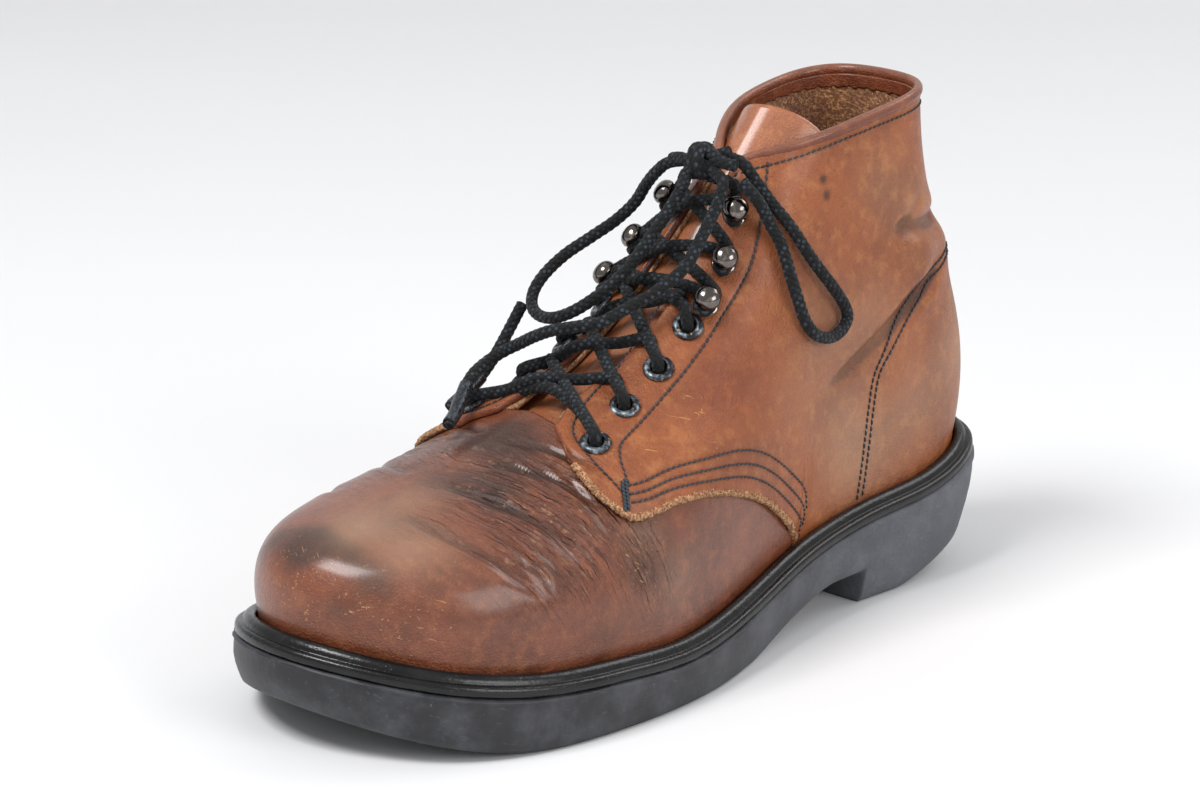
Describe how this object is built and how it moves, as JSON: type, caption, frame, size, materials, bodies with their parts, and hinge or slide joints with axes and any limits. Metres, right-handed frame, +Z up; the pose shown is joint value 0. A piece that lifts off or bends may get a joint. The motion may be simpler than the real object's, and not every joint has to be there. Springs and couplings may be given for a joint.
{
  "type": "work boot",
  "caption": "Worn brown leather lace-up work boot for the left foot, plain-toe derby with a moulded black rubber sole and speed hooks.",
  "frame": {"origin": "on the floor under the middle of the boot's box", "axes": "+Z up, toe towards -Y, heel towards +Y, outer (little-toe) side towards +X"},
  "size_m": [0.1181, 0.3005, 0.168],
  "materials": {
    "upper_leather": "waxed, worn and scuffed",
    "tongue_leather": "smooth, satin",
    "insole_leather": "rough, worn",
    "sole_rubber": "matt, dusty",
    "welt_rubber": "satin",
    "eyelet_metal": "black enamel worn to brass",
    "hook_metal": "dark gunmetal, polished",
    "lace_cord": "round braid, black with a grey fleck"
  },
  "bodies": {
    "root": {"outsole": "sole_rubber", "welt": "welt_rubber", "insole": "insole_leather", "upper": "upper_leather", "tongue": "tongue_leather", "eyelet_outer_1": "eyelet_metal", "eyelet_outer_2": "eyelet_metal", "eyelet_outer_3": "eyelet_metal", "eyelet_outer_4": "eyelet_metal", "hook_outer_1": "hook_metal", "hook_outer_2": "hook_metal", "hook_outer_3": "hook_metal", "eyelet_inner_1": "eyelet_metal", "eyelet_inner_2": "eyelet_metal", "eyelet_inner_3": "eyelet_metal", "eyelet_inner_4": "eyelet_metal", "hook_inner_1": "hook_metal", "hook_inner_2": "hook_metal", "hook_inner_3": "hook_metal", "lace_crossings": "lace_cord", "lace_knot": "lace_cord", "lace_loop_outer": "lace_cord", "lace_loop_inner": "lace_cord", "lace_end_1": "lace_cord", "lace_end_2": "lace_cord"}
  },
  "joints": []
}
